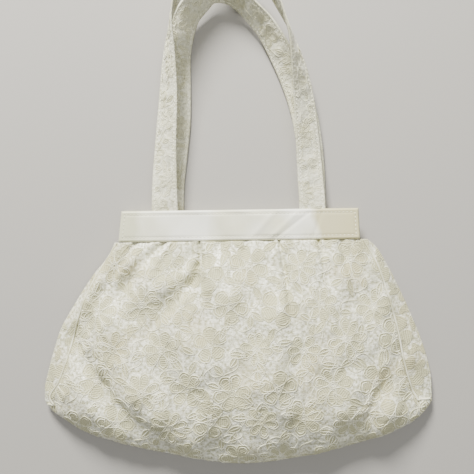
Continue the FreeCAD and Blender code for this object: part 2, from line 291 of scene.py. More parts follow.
def keep_faces(mesh, wanted):
    """Drop the faces whose middle a rule doesn't want."""
    bm = bmesh.new()
    bm.from_mesh(mesh)
    centres = np.array([face.calc_center_median()[:] for face in bm.faces]) / MM
    keep = wanted(centres)
    spare = [face for face, stays in zip(bm.faces, keep) if not stays]
    bmesh.ops.delete(bm, geom=spare, context="FACES")
    bm.to_mesh(mesh)
    bm.free()


def thicken(mesh, depth):
    """Give a sheet its thickness, away from the side its faces look to."""
    blank = bpy.data.objects.new("blank", mesh)
    bpy.context.scene.collection.objects.link(blank)
    wall = blank.modifiers.new("wall", "SOLIDIFY")
    wall.thickness = depth * MM
    wall.offset = -1
    reading = blank.evaluated_get(bpy.context.evaluated_depsgraph_get())
    solid = bpy.data.meshes.new_from_object(reading)
    bpy.data.objects.remove(blank)
    bpy.data.meshes.remove(mesh)
    return solid


def piece(name, mesh, body, finish, *stands_for):
    """Place a finished mesh in the scene, on its body, in its material."""
    mesh.name = name
    mesh.shade_smooth()
    mesh.materials.append(finish)
    item = bpy.data.objects.new(name, mesh)
    bpy.context.scene.collection.objects.link(item)
    if body:
        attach(item, body)
    if stands_for:
        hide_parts(*stands_for)
    return item


def mouth_piece(name, mesh, finish, *stands_for):
    """A piece of the body's cloth, on no body, with its place baked into its points."""
    item = piece(name, mesh, None, finish, *stands_for)
    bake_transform(item)
    return item


# ---------------------------------------------------------------- lace drawing
class Lace:
    """Flowers, leaves and stems drawn on flat cloth, with their corded outlines."""

    def __init__(self, seed):
        self.dice = np.random.default_rng(seed)
        self.petals = []
        self.leaves = []
        self.lines = []

    def petal(self, x, y, turn, long, wide):
        """One rounded petal with a wavy rim and a second line inside it."""
        self.petals.append((x, y, turn, long, wide))
        for share, span in ((1.0, math.pi), (0.66, 1.9)):
            around = np.linspace(-span, span, 26 if share == 1.0 else 12)
            rim = share * (1 + 0.05 * np.cos(around * 6))
            u = long * np.cos(around) * rim
            v = wide * (1 + 0.25 * np.cos(around)) * np.sin(around) * rim
            self.lines.append(self.turned(x, y, turn, u, v))

    def leaf(self, x, y, turn, long, wide):
        """One pointed leaf with a middle vein."""
        self.leaves.append((x, y, turn, long, wide))
        along = np.linspace(0, 1, 12)
        bulge = np.sin(math.pi * along ** 0.85) * wide
        u = np.concatenate([along, along[::-1]]) * long
        v = np.concatenate([bulge, -bulge[::-1]])
        self.lines.append(self.turned(x, y, turn, u, v))
        self.lines.append(self.turned(x, y, turn, along * long * 0.92, along * 0))

    def stem(self, x, y, turn, long, bend):
        """One curling stem."""
        along = np.linspace(0, 1, 18)
        u = along * long
        v = bend * np.sin(along * math.pi * 1.3)
        self.lines.append(self.turned(x, y, turn, u, v))

    def flower(self, x, y, size, count):
        """A ring of petals round a small eye."""
        start = self.dice.uniform(0, math.tau)
        for k in range(count):
            turn = start + k * math.tau / count + self.dice.uniform(-0.12, 0.12)
            reach = size * self.dice.uniform(0.54, 0.62)
            self.petal(x + reach * math.cos(turn), y + reach * math.sin(turn), turn,
                       size * 0.38, size * 1.75 / count)
        around = np.linspace(0, math.tau, 12)
        for ring in (0.17, 0.09):
            self.lines.append((x + size * ring * np.cos(around), y + size * ring * np.sin(around)))

    @staticmethod
    def turned(x, y, turn, u, v):
        return (x + u * math.cos(turn) - v * math.sin(turn),
                y + u * math.sin(turn) + v * math.cos(turn))

    def scatter(self, low, high, pitch, size):
        """Cover a rectangle of cloth with flowers, leaves and stems."""
        row = 0
        y = low[1]
        while y < high[1] + pitch:
            x = low[0] + (pitch * 0.5 if row % 2 else 0)
            while x < high[0] + pitch * 0.5:
                self.spray(x, y, pitch, size)
                x += pitch
            y += pitch * 0.84
            row += 1

    def spray(self, x, y, pitch, size):
        """One flower with its leaves, a bud and stems."""
        dice = self.dice
        x += dice.uniform(-0.13, 0.13) * pitch
        y += dice.uniform(-0.13, 0.13) * pitch
        self.flower(x, y, size * dice.uniform(0.85, 1.1), int(dice.integers(5, 9)))
        start = dice.uniform(0, math.tau)
        for k in range(4):
            turn = start + k * math.tau / 4 + dice.uniform(-0.3, 0.3)
            reach = size * 1.04
            leaf_x = x + reach * math.cos(turn)
            leaf_y = y + reach * math.sin(turn)
            self.leaf(leaf_x, leaf_y, turn + dice.uniform(-0.7, 0.7),
                      size * dice.uniform(0.65, 0.95), size * 0.17)
            self.stem(leaf_x, leaf_y, turn + dice.uniform(0.6, 1.2), size * 1.1, size * 0.25)

    def read(self, x, y):
        """At each place: millimetres inside the closest motif, and its rib count."""
        inside = np.full_like(x, -3.0)
        rib = np.zeros_like(x)
        for px, py, turn, long, wide in self.petals:
            near = np.flatnonzero(np.hypot(x - px, y - py) < long + wide + 3)
            u, v = self.local(x[near] - px, y[near] - py, turn)
            reach = np.hypot(u / long, v / (wide * (1 + 0.25 * np.clip(u / long, -1, 1))))
            depth = (1 - reach) * min(long, wide)
            self.keep_deepest(inside, rib, near, depth, u)
        for px, py, turn, long, wide in self.leaves:
            near = np.flatnonzero(np.hypot(x - px, y - py) < long + 3)
            u, v = self.local(x[near] - px, y[near] - py, turn)
            half = wide * np.sin(math.pi * np.clip(u / long, 0, 1) ** 0.85)
            depth = np.where((u > 0) & (u < long), half - np.abs(v), -np.abs(v) - 1)
            self.keep_deepest(inside, rib, near, depth, u - np.abs(v))
        return inside, rib

    @staticmethod
    def local(dx, dy, turn):
        return (dx * math.cos(turn) + dy * math.sin(turn),
                dy * math.cos(turn) - dx * math.sin(turn))

    @staticmethod
    def keep_deepest(inside, rib, near, depth, count):
        deeper = depth > inside[near]
        inside[near[deeper]] = depth[deeper]
        rib[near[deeper]] = count[deeper]


def new_thread(name, radius, roundness):
    """An empty drawing whose lines become round threads."""
    drawing = bpy.data.curves.new(name, "CURVE")
    drawing.dimensions = "3D"
    drawing.bevel_depth = radius * MM
    drawing.bevel_resolution = roundness
    drawing.use_fill_caps = True
    return drawing


def add_run(drawing, points):
    """Add one open line through points in millimetres."""
    spline = drawing.splines.new("POLY")
    spline.points.add(len(points) - 1)
    run = np.ones((len(points), 4))
    run[:, :3] = points * MM
    spline.points.foreach_set("co", run.ravel())


def thread_mesh(name, drawing):
    """The round surface of a drawing's threads."""
    blank = bpy.data.objects.new(name, drawing)
    mesh = bpy.data.meshes.new_from_object(blank)
    bpy.data.objects.remove(blank)
    return mesh


def outlines(name, lace, place, allowed, radius):
    """Lay the lace's corded lines on the cloth as thin threads."""
    drawing = new_thread(name, radius, 0)
    for x, y in lace.lines:
        stays = allowed(x, y)
        points = place(x, y)
        begin = 0
        for k in range(len(x) + 1):
            if k < len(x) and stays[k]:
                continue
            if k - begin > 2:
                add_run(drawing, points[begin:k])
            begin = k + 1
    return thread_mesh(name, drawing)


def cord(name, path, radius):
    """A round cord along a path."""
    drawing = new_thread(name, radius, 2)
    add_run(drawing, path)
    return thread_mesh(name, drawing)


# ---------------------------------------------------------------- materials
def paint(code):
    """An sRGB hex colour as the linear colour a shader reads."""
    parts = [int(code[k:k + 2], 16) / 255 for k in (1, 3, 5)]
    return [p / 12.92 if p <= 0.04045 else ((p + 0.055) / 1.055) ** 2.4 for p in parts] + [1]


def add(tree, kind, values=None, links=None, **settings):
    """Add a node with its settings, its typed-in values and its links."""
    node = tree.nodes.new(kind)
    for name, setting in settings.items():
        setattr(node, name, setting)
    for socket, value in (values or {}).items():
        node.inputs[socket].default_value = value
    for socket, source in (links or {}).items():
        tree.links.new(source, node.inputs[socket])
    return node


def new_material(name, values):
    """An empty material with one main shader."""
    material = bpy.data.materials.new(name)
    material.use_nodes = True
    shader = material.node_tree.nodes["Principled BSDF"]
    for socket, value in values.items():
        shader.inputs[socket].default_value = value
    return material, material.node_tree, shader


def mix(tree, factor, first, second):
    """Blend two colours, each a socket or a typed-in colour."""
    node = add(tree, "ShaderNodeMix", data_type="RGBA")
    for socket, source in ((0, factor), (6, first), (7, second)):
        if isinstance(source, bpy.types.NodeSocket):
            tree.links.new(source, node.inputs[socket])
        else:
            node.inputs[socket].default_value = source
    return node.outputs[2]


def sums(tree, operation, first, second):
    """One step of arithmetic on sockets or typed-in numbers."""
    node = add(tree, "ShaderNodeMath", operation=operation)
    for socket, source in ((0, first), (1, second)):
        if isinstance(source, bpy.types.NodeSocket):
            tree.links.new(source, node.inputs[socket])
        else:
            node.inputs[socket].default_value = source
    return node.outputs[0]


def span(tree, source, low, high, to_low=0.0, to_high=1.0):
    """Stretch a reading between two limits."""
    node = add(tree, "ShaderNodeMapRange", {1: low, 2: high, 3: to_low, 4: to_high}, {0: source})
    return node.outputs[0]


def lace_over_satin(name, strength):
    """Corded lace over acetate satin: matte woven motifs on a fine net that glints, with painted
    glints and patches of painted shade in its colour.
    """
    material, tree, shader = new_material(name, {
        "IOR": 1.47, "Specular IOR Level": 0.45, "Sheen Weight": 0.12, "Sheen Roughness": 0.4})
    cloth = add(tree, "ShaderNodeUVMap", uv_map="cloth").outputs[0]
    # The net's cells are drawn 1.7 mm wide, coarser than real, so that they still show.
    net = add(tree, "ShaderNodeTexVoronoi", {"Scale": 100 / 1.7, "Randomness": 0.55},
              {"Vector": cloth}, feature="DISTANCE_TO_EDGE").outputs["Distance"]
    thread = span(tree, net, 0.02, 0.22, 1.0, 0.0)
    glint = add(tree, "ShaderNodeTexNoise", {"Scale": 100 / 2.4, "Detail": 3.0},
                {"Vector": cloth}).outputs["Fac"]
    cloud = add(tree, "ShaderNodeTexNoise", {"Scale": 100 / 38, "Detail": 2.0},
                {"Vector": cloth}).outputs["Fac"]
    # Painted highlight: the fine glint noise takes the satin's colour from dark to bright glints.
    painted_glint = span(tree, glint, 0.38, 0.60, 0.5 - strength / 2, 0.5 + strength / 2)
    satin = mix(tree, painted_glint, paint("#a6a482"), paint("#fdfcea"))
    ground = mix(tree, sums(tree, "MULTIPLY", thread, 0.45), satin, paint("#e6e4c8"))
    inside = add(tree, "ShaderNodeAttribute", attribute_name="motif").outputs["Fac"]
    count = add(tree, "ShaderNodeAttribute", attribute_name="rib").outputs["Fac"]
    motif = sums(tree, "MULTIPLY", span(tree, inside, -0.25, 0.25), strength)
    # Ribs of clothwork stand 1.5 mm apart.
    rib = sums(tree, "SINE", sums(tree, "MULTIPLY", count, math.tau / 1.5), 0)
    woven = mix(tree, span(tree, rib, -1, 1), paint("#b7b48e"), paint("#d2cfaa"))
    colour = mix(tree, motif, ground, woven)
    warm = span(tree, cloud, 0.5, 0.72, 0, 0.35 * strength)
    colour = mix(tree, warm, colour, paint("#cfc08c"))
    # Painted shade: a cloud noise darkens patches of the cloth towards grey-green.
    painted_shade = add(tree, "ShaderNodeTexNoise", {"Scale": 100 / 21, "Detail": 2.0},
                {"Vector": cloth}).outputs["Fac"]
    colour = mix(tree, span(tree, painted_shade, 0.52, 0.66, 0, 0.42 * strength), colour, paint("#a3a283"))
    tree.links.new(colour, shader.inputs["Base Color"])
    gloss = span(tree, motif, 0, 1, 0.24, 0.66)
    tree.links.new(gloss, shader.inputs["Roughness"])
    weave = sums(tree, "MULTIPLY", sums(tree, "MULTIPLY", rib, motif), 0.10)
    relief = sums(tree, "ADD", weave, sums(tree, "MULTIPLY", motif, 0.30))
    relief = sums(tree, "ADD", relief, sums(tree, "MULTIPLY", thread, 0.09))
    relief = sums(tree, "ADD", relief, sums(tree, "MULTIPLY", glint, 0.45))
    bump = add(tree, "ShaderNodeBump", {"Distance": MM, "Strength": 0.9}, {"Height": relief})
    tree.links.new(bump.outputs[0], shader.inputs["Normal"])
    return material


def lace_thread(name):
    """Loosely twisted viscose gimp thread: pale and faintly lustrous."""
    material, tree, shader = new_material(name, {
        "Roughness": 0.5, "IOR": 1.47, "Sheen Weight": 0.2})
    place = add(tree, "ShaderNodeTexCoord").outputs["Object"]
    patch = add(tree, "ShaderNodeTexNoise", {"Scale": 1000 / 14}, {"Vector": place}).outputs["Fac"]
    colour = mix(tree, span(tree, patch, 0.35, 0.65), paint("#c9c6a2"), paint("#f4f2da"))
    tree.links.new(colour, shader.inputs["Base Color"])
    return material


def duchess_satin(name):
    """Smooth acetate satin: a soft sheen, faint slub lines, warm patches and painted shade at both
    ends.
    """
    material, tree, shader = new_material(name, {
        "IOR": 1.46, "Specular IOR Level": 0.5, "Sheen Weight": 0.15})
    place = add(tree, "ShaderNodeTexCoord").outputs["Object"]
    stretch = add(tree, "ShaderNodeMapping", {"Scale": (0.16, 1, 1)}, {"Vector": place}).outputs[0]
    slub = add(tree, "ShaderNodeTexNoise", {"Scale": 1000 / 1.4, "Detail": 2.0},
               {"Vector": stretch}).outputs["Fac"]
    cloud = add(tree, "ShaderNodeTexNoise", {"Scale": 1000 / 34}, {"Vector": place}).outputs["Fac"]
    across = add(tree, "ShaderNodeSeparateXYZ", links={"Vector": place}).outputs[0]
    wavy = sums(tree, "ADD", across, sums(tree, "MULTIPLY", cloud, 0.03))
    # Painted shade: both ends of the band are darkened along a wavy edge, the right towards beige
    # and the left towards grey-green.
    right_end_painted_shade = span(tree, wavy, 0.073, 0.079)
    left_end_painted_shade = span(tree, wavy, -0.058, -0.064)
    body = mix(tree, span(tree, cloud, 0.4, 0.65), paint("#e6e4c8"), paint("#fbfaec"))
    colour = mix(tree, sums(tree, "MULTIPLY", right_end_painted_shade, 0.9), body, paint("#cbc394"))
    colour = mix(tree, sums(tree, "MULTIPLY", left_end_painted_shade, 0.9), colour, paint("#d3d3b2"))
    tree.links.new(colour, shader.inputs["Base Color"])
    tree.links.new(span(tree, slub, 0.3, 0.7, 0.34, 0.46), shader.inputs["Roughness"])
    bump = add(tree, "ShaderNodeBump", {"Distance": 0.05 * MM, "Strength": 0.5}, {"Height": slub})
    tree.links.new(bump.outputs[0], shader.inputs["Normal"])
    return material


def polyester_lining(name):
    """Plain woven polyester lining: flat, slightly glossy and finely ribbed."""
    material, tree, shader = new_material(name, {
        "Base Color": paint("#e3dfd0"), "Roughness": 0.55, "IOR": 1.48})
    place = add(tree, "ShaderNodeTexCoord").outputs["Object"]
    yarn = add(tree, "ShaderNodeTexWave", {"Scale": 1000 / 1.2 / math.tau, "Distortion": 0.3},
               {"Vector": place}).outputs["Fac"]
    colour = mix(tree, yarn, paint("#dedac9"), paint("#e8e5d8"))
    tree.links.new(colour, shader.inputs["Base Color"])
    bump = add(tree, "ShaderNodeBump", {"Distance": 0.08 * MM, "Strength": 0.5}, {"Height": yarn})
    tree.links.new(bump.outputs[0], shader.inputs["Normal"])
    return material


def sewing_thread(name):
    """Spun polyester thread: matte cream."""
    material, tree, shader = new_material(name, {
        "Base Color": paint("#ded9c6"), "Roughness": 0.7, "IOR": 1.5})
    place = add(tree, "ShaderNodeTexCoord").outputs["Object"]
    twist = add(tree, "ShaderNodeTexNoise", {"Scale": 1000 / 0.6}, {"Vector": place}).outputs["Fac"]
    colour = mix(tree, twist, paint("#e6e2c6"), paint("#fffdee"))
    tree.links.new(colour, shader.inputs["Base Color"])
    return material


def nickel_plate(name):
    """Stamped nickel-plated steel: bright with a slight brushed grain."""
    material, tree, shader = new_material(name, {
        "Base Color": paint("#c9c5bb"), "Metallic": 1.0, "Roughness": 0.28})
    place = add(tree, "ShaderNodeTexCoord").outputs["Object"]
    grain = add(tree, "ShaderNodeTexNoise", {"Scale": 1000 / 0.8, "Detail": 3.0},
                {"Vector": place}).outputs["Fac"]
    tree.links.new(span(tree, grain, 0.3, 0.7, 0.22, 0.38), shader.inputs["Roughness"])
    return material


LACE = lace_over_satin("corded_lace_over_satin", 1.0)
STRAP_LACE = lace_over_satin("strap_lace_over_satin", 0.4)
THREAD = lace_thread("viscose_gimp_thread")
SATIN = duchess_satin("duchess_satin")
LINING = polyester_lining("polyester_lining")
SEWING = sewing_thread("spun_polyester_thread")
NICKEL = nickel_plate("nickel_plate")


# ---------------------------------------------------------------- the walls
ROWS = 150
SIDE = 9
MAIN = 190


def wall_plan(u, v):
    """Where a grid corner falls on the plan."""
    across = (u * 2 - 1) * (MAIN + 2 * SIDE) / MAIN
    up = TALL * v ** 1.5
    levels = np.unique(up)
    foot_row = levels[np.argmin(np.abs(levels - FOOT))]
    up = np.where(up == foot_row, FOOT, up)
    edge = edge_at(across, up)
    seam = seam_at(across, up)
    over = np.clip((np.abs(across) - 1) / (2 * SIDE / MAIN), 0, 1)
    reach = np.where(np.abs(across) <= 1, np.abs(across) * seam, seam + over * (edge - seam))
    return np.sign(across) * reach, SEAM_Y + up


def wall(name, height, depth, faces_down, lace, inset=0.0):
    """A front or back wall without its gussets."""
    mesh = grid(name, MAIN + 2 * SIDE, ROWS)
    corner = read_points(mesh)
    x, y = wall_plan(corner[:, 0], corner[:, 1])
    z = height(x, y) + (inset if faces_down else -inset)
    shrink = 1 - inset / HALF_WIDE
    write_points(mesh, np.stack([x * shrink, y + inset * (TALL - (y - SEAM_Y)) / TALL, z], 1))
    add_cloth_map(mesh, x, y)
    if lace:
        add_lace(mesh, lace, x, y)

    def wanted(centre):
        up = centre[:, 1] - SEAM_Y
        return (np.abs(centre[:, 0]) < shrink * seam_at(centre[:, 0], up)) | (up < FOOT + inset)
    keep_faces(mesh, wanted)
    if faces_down:
        mesh.flip_normals()
    return thicken(mesh, depth)


def gusset(name, side, depth, lace, inset=0.0):
    """A side gusset folded outward between the two walls."""
    mesh = grid(name, 28, ROWS)
    corner = read_points(mesh)
    turn = corner[:, 0] * 2
    up = FOOT + (TALL - FOOT) * corner[:, 1]
    y = SEAM_Y + up
    probe = np.full_like(up, side)
    edge = edge_at(probe, up)
    seam = seam_at(probe, up)
    share = np.where(turn < 1, turn, 2 - turn)
    share = np.sin(share * math.pi / 2) ** 0.9
    x = side * (seam - 0.6 + (edge - seam + 0.6) * share)
    outside = side * np.maximum(np.abs(x), seam + 0.05)
    lay = np.where(turn < 1, front_height(outside, y) - 0.9 * (1 - share) ** 6, back_height(x, y))
    close = ease((share - 0.6) / 0.4)
    inner = np.where(turn < 1, -inset, inset) * (1 - close)
    z = lay + inner
    x = x - side * inset * close
    write_points(mesh, np.stack([x, y, z], 1))
    flat_across = np.where(turn < 1, np.abs(x), 2 * edge - np.abs(x) + 12)
    add_cloth_map(mesh, side * flat_across, y)
    add_lace(mesh, lace, side * flat_across, y)
    if side < 0:
        mesh.flip_normals()
    return thicken(mesh, depth)


front_lace = Lace(21)
front_lace.scatter((-142, -80), (142, 80), 34, 14.5)
back_lace = Lace(22)
back_lace.scatter((-142, -80), (142, 80), 34, 14.5)

front_panel = mouth_piece("front_lace_wall",
                          wall("front_wall", front_height, 1.2, False, front_lace),
                          LACE, "front_lace_panel", "front_satin_panel")
back_panel = piece("back_lace_wall", wall("back_wall", back_height, 1.0, True, back_lace),
                   "back", LACE, "back_lace_panel", "back_satin_panel")
SIDES = {-1: "left", 1: "right"}
for side, word in SIDES.items():
    mouth_piece(
        word + "_lace_gusset", gusset(word + "_gusset", side, 1.0, front_lace), LACE,
        word + "_gusset_lace", word + "_gusset_satin")


def on_front(x, y):
    """Just over the front wall."""
    return np.stack([x, y, front_height(x, y) + 0.1], 1)


def on_back(x, y):
    """Just under the back wall."""
    return np.stack([x, y, back_height(x, y) - 0.05], 1)


def inside_wall(x, y):
    """Whether a wall has cloth there, clear of its edges."""
    up = y - SEAM_Y
    high = (up > FOOT + 1) & (np.abs(x) < seam_at(x, up) - 1)
    low = (up > 2) & (up < FOOT - 1) & (np.abs(x) < edge_at(x, up) - 2)
    return (high | low) & (up < TALL - 0.5)


front_threads = mouth_piece(
    "front_lace_outlines",
    outlines("front_outlines", front_lace, on_front, inside_wall, 0.32), THREAD)
back_threads = piece(
    "back_lace_outlines",
    outlines("back_outlines", back_lace, on_back, inside_wall, 0.25), "back", THREAD)


ROLL_RADIUS = 0.75


def seam_roll(side):
    """The rolled seam round a gusset: in from the fold, then up to the mouth."""
    low = np.full(12, FOOT)
    rise = np.linspace(FOOT, TALL - 0.5, 90)
    probe = np.full(12, float(side))
    start = edge_at(probe, low) - 2.2
    turn_in = start + (seam_at(probe, low) + 0.3 - start) * np.linspace(0, 1, 12)
    up = np.concatenate([low[:-1], rise])
    out = np.concatenate([turn_in[:-1], seam_at(np.full(90, float(side)), rise) + 0.3])
    x = side * out
    y = SEAM_Y + up
    z = front_height(side * (out - 2.4), y) - 0.55
    z = np.minimum(z, front_height(x, y + 1.0) + 0.9)
    return np.stack([x, y, z], 1)


for side, word in SIDES.items():
    mouth_piece(word + "_seam_roll", cord(word + "_roll", seam_roll(side), ROLL_RADIUS), THREAD)

# ---------------------------------------------------------------- lining and pocket
front_lining = mouth_piece("front_lining_wall",
                           wall("front_lining", front_height, 0.3, False, None, 1.7),
                           LINING, "front_lining")
back_lining = piece("back_lining_wall", wall("back_lining", back_height, 0.3, True, None, 1.5),
                    "back", LINING, "back_lining")
for side, word in SIDES.items():
    mouth_piece(
        word + "_lining_gusset", gusset(word + "_lining", side, 0.3, front_lace, 1.6), LINING,
        word + "_gusset_lining")


def pocket():
    """A flat slip pocket with a turned top hem."""
    low, high = [Vector(corner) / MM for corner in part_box("slip_pocket")]
    mesh = grid("pocket", 60, 46)
    corner = read_points(mesh)
    x = low.x + (high.x - low.x) * corner[:, 0]
    y = low.y + (high.y - low.y) * corner[:, 1]
    hem = 0.35 * ease((y - high.y + 12) / 1.0)
    z = low.z + 0.1 + hem + 0.15 * (1 + ripple(x, y, 30, 41)) * ease((y - low.y) / 30)
    write_points(mesh, np.stack([x, y, z], 1))
    return thicken(mesh, 0.3)


pocket_piece = piece("slip_pocket_cloth", pocket(), "back", LINING, "slip_pocket")


# ---------------------------------------------------------------- the two bands
BAND_WIDE = 182
BAND_TALL = 23.6
BAND_THICK = 2.1
BAND_LEFT = -91.4
BAND_RIGHT = 91.0
LEFT_SLANT = 2.6
RIGHT_SLANT = 1.0
BACK_TURN = 1.6
CREASE_Y = 94


def band_plan(u, v, shift):
    """A band's place on the plan: a little narrower at its top edge."""
    left = BAND_LEFT + LEFT_SLANT * v
    right = BAND_RIGHT - RIGHT_SLANT * v
    x = left + (right - left) * u
    low = MOUTH_Y + 0.3
    y = low + (BAND_HIGH.y - low) * v + shift * (0.5 - u)
    return x, y


def band_swell(u, v):
    """How the band's edges roll down and its stitched line pulls in."""
    from_end = np.minimum(u, 1 - u) * BAND_WIDE
    from_edge = np.minimum(v, 1 - v) * BAND_TALL
    near = np.minimum(from_end, from_edge)
    roll = -1.1 * np.clip(1 - near / 1.6, 0, 1) ** 2
    stitched = -0.42 * np.exp(-((near - 3.1) / 0.7) ** 2)
    return roll + stitched


def crease(x, y, at, lean, width):
    """A slanting crease across the band, 1 along its middle."""
    return np.exp(-((x - at - lean * (y - CREASE_Y)) / width) ** 2)


def band_top(u, v):
    """The front band's face, with its wrinkles and its calmer ends."""
    x, y = band_plan(u, v, 0)
    calm = ease(np.minimum(v, 1 - v) * 4.5)
    wrinkle = 0.42 * ripple(x * 0.8 + y * 0.5, y * 0.35, 26, 31) * calm
    pulled = crease(x, y, 34, 1.1, 2.6) - crease(x, y, 41, 1.3, 2)
    pulled = pulled + crease(x, y, 18, 0.9, 3.2)
    wrinkle = wrinkle + 0.45 * pulled * calm
    ends = ease((x - 58) / 4) + ease((-70 - x) / 4)
    wrinkle = wrinkle * (1 - 0.7 * np.clip(ends, 0, 1))
    dent = -0.35 * crease(x, y, 59, 0.35, 1.6) * calm
    return x, y, MOUTH_Z - 0.1 + band_swell(u, v) + wrinkle + dent


def band_under(u, v):
    """The back band's face, turned a little so that one corner shows."""
    x, y = band_plan(u, v, BACK_TURN)
    return x, y, BACK_LOW.z + 0.1 - 0.9 * band_swell(u, v)


def band_cover(name, surface, faces_down):
    """A band's satin slab."""
    mesh = grid(name, 190, 30)
    corner = read_points(mesh)
    x, y, z = surface(corner[:, 0], corner[:, 1])
    write_points(mesh, np.stack([x, y, z], 1))
    add_cloth_map(mesh, x, y)
    if faces_down:
        mesh.flip_normals()
    return thicken(mesh, BAND_THICK)


def facing(name, side_z, shift):
    """The flat cloth that lines a band inside the mouth."""
    mesh = grid(name, 90, 12)
    corner = read_points(mesh)
    x, y = band_plan(corner[:, 0] * 0.992 + 0.004, corner[:, 1] * 0.95 + 0.025, shift)
    z = side_z + 0.06 * ripple(x, y, 22, 33)
    write_points(mesh, np.stack([x, y, z], 1))
    return thicken(mesh, 0.4)


front_cover = piece("front_band_cover", band_cover("front_band", band_top, False), "front_band",
                    SATIN, "front_band", "front_band_stiffener")
back_cover = piece("back_band_cover", band_cover("back_band", band_under, True), "back_band",
                   SATIN, "back_band", "back_band_stiffener")
FRONT_FACING = Vector(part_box("front_band_facing")[1]) / MM
BACK_FACING = Vector(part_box("back_band_facing")[1]) / MM
facings = [
    piece("front_facing", facing("front_facing", FRONT_FACING.z, 0), "front_band", LINING,
          "front_band_facing"),
    piece("back_facing", facing("back_facing", BACK_FACING.z, BACK_TURN), "back_band", LINING,
          "back_band_facing")]


# ---------------------------------------------------------------- the two straps
STRAP_WIDE = 20.0
STRAP_DEEP = 1.5
STITCH_INSET = 2.3
# The under face's cloth lies this far to the side of the upper face's on the flat.
UNDER_FLAT = 40
# A strap turns from its band within this run past the band's edge.
START_Y = BAND_HIGH.y + 0.2
# Each row: x, reach past the band, the lower edge's level, and the lean in degrees.
FRONT_STRAP = [
    (-56, -3, 10.2, 0), (-56, 2, 10.4, 1), (-55.9, 20, 8.8, 12), (-54.8, 47, 7.0, 28),
    (-52.1, 85, 7.0, 40), (-50.7, 114, 8.6, 56), (-48.6, 137, 12.0, 78), (-42.4, 156.5, 15.6, 92),
    (-32.6, 171.5, 15.6, 100), (-20, 181.5, 14.8, 103), (-6, 186, 13.8, 104),
    (8, 182.5, 13.8, 103), (18.5, 173, 14, 101), (27.4, 157, 14.6, 94), (35, 140, 14.6, 83),
    (41, 124, 13.6, 69), (45.4, 108, 11.4, 52), (49.6, 85, 8.2, 33), (52.9, 47, 7.2, 17),
    (54.6, 20, 8.8, 5), (55.4, 2, 10.4, 0.5), (55.4, -3, 10.2, 0)]
BACK_STRAP = [
    (-53, -3, 0.7, 0), (-52, 20, 0.7, -3), (-48.7, 47, 0.7, -6), (-46, 74, 0.7, -9),
    (-45.6, 95, 0.7, -11), (-45.4, 117, 0.8, -15), (-42, 136, 1.0, -21), (-36.4, 150, 1.6, -32),
    (-27, 158.4, 2.4, -45), (-18, 164.5, 3.4, -58), (-8, 163.5, 3.8, -62), (2.4, 158, 3.6, -60),
    (12.2, 148, 3.2, -56), (21.5, 138, 2.6, -50), (31.5, 121.5, 1.8, -40), (40.5, 104, 1.2, -27),
    (47.6, 86, 0.8, -16), (52.6, 66, 0.7, -9), (55.8, 42, 0.7, -4), (57, 20, 0.7, -1),
    (57, -3, 0.7, 0)]


class StrapLine:
    """A strap's middle line, its cross direction and its facing direction."""

    def __init__(self, stations, step=1.0):
        table = np.array(stations, float)
        runs = np.hypot(np.diff(table[:, 0]), np.diff(table[:, 1]))
        far = np.concatenate([[0], np.cumsum(runs)])
        self.far = np.arange(0, far[-1] + 0.01, step)
        columns = [self.smooth(far, table[:, k]) for k in range(4)]
        lean = np.radians(columns[3])
        x = columns[0]
        y = START_Y + columns[1]
        across_x = np.gradient(y)
        across_y = -np.gradient(x)
        size = np.hypot(across_x, across_y)
        flat = np.stack([across_x / size, across_y / size, 0 * size], 1)
        level = (columns[2] + STRAP_DEEP / 2 * np.abs(np.cos(lean))
                 + STRAP_WIDE / 2 * np.abs(np.sin(lean)))
        self.middle = np.stack([x, y, level], 1)
        self.across = flat * np.cos(lean)[:, None]
        self.across[:, 2] = np.sin(lean)
        along = np.gradient(self.middle, axis=0)
        along /= np.linalg.norm(along, axis=1)[:, None]
        self.facing = np.cross(self.across, along)
        self.facing /= np.linalg.norm(self.facing, axis=1)[:, None]
        self.length = np.linalg.norm(np.diff(self.middle, axis=0), axis=1).sum()

    def smooth(self, far, values):
        """Round the corners of a chosen row of values."""
        fine = rule(list(zip(far, values)))(self.far)
        pad = 7
        padded = np.concatenate([2 * fine[0] - fine[pad:0:-1], fine,
                                 2 * fine[-1] - fine[-2:-pad - 2:-1]])
        bell = np.hanning(2 * pad + 3)[1:-1]
        return np.convolve(padded, bell / bell.sum(), mode="valid")

    def at(self, far, across, lift):
        """The place at a distance along, across and over the strap."""
        out = []
        for table in (self.middle, self.across, self.facing):
            out.append(np.stack([np.interp(far, self.far, table[:, k]) for k in range(3)], 1))
        return out[0] + out[1] * across[:, None] + out[2] * lift[:, None]


def strap_ripple(far, across, seed):
    """The cockled surface between the two stitched edges."""
    calm = ease((STRAP_WIDE / 2 - 2.6 - np.abs(across)) / 3)
    return calm * (0.3 * ripple(far, across, 13, seed) + 0.05 * ripple(far, across, 5, seed + 1))


def strap_swell(far, across, seed):
    """Height of a strap's face over its middle: rolled edges and stitched grooves."""
    from_edge = STRAP_WIDE / 2 - np.abs(across)
    roll = np.sqrt(np.clip(1 - (1 - np.clip(from_edge / 0.9, 0, 1)) ** 2, 0, 1))
    groove = 0.42 * np.exp(-((from_edge - STITCH_INSET) / 0.65) ** 2)
    return STRAP_DEEP / 2 * roll - groove + strap_ripple(far, across, seed)


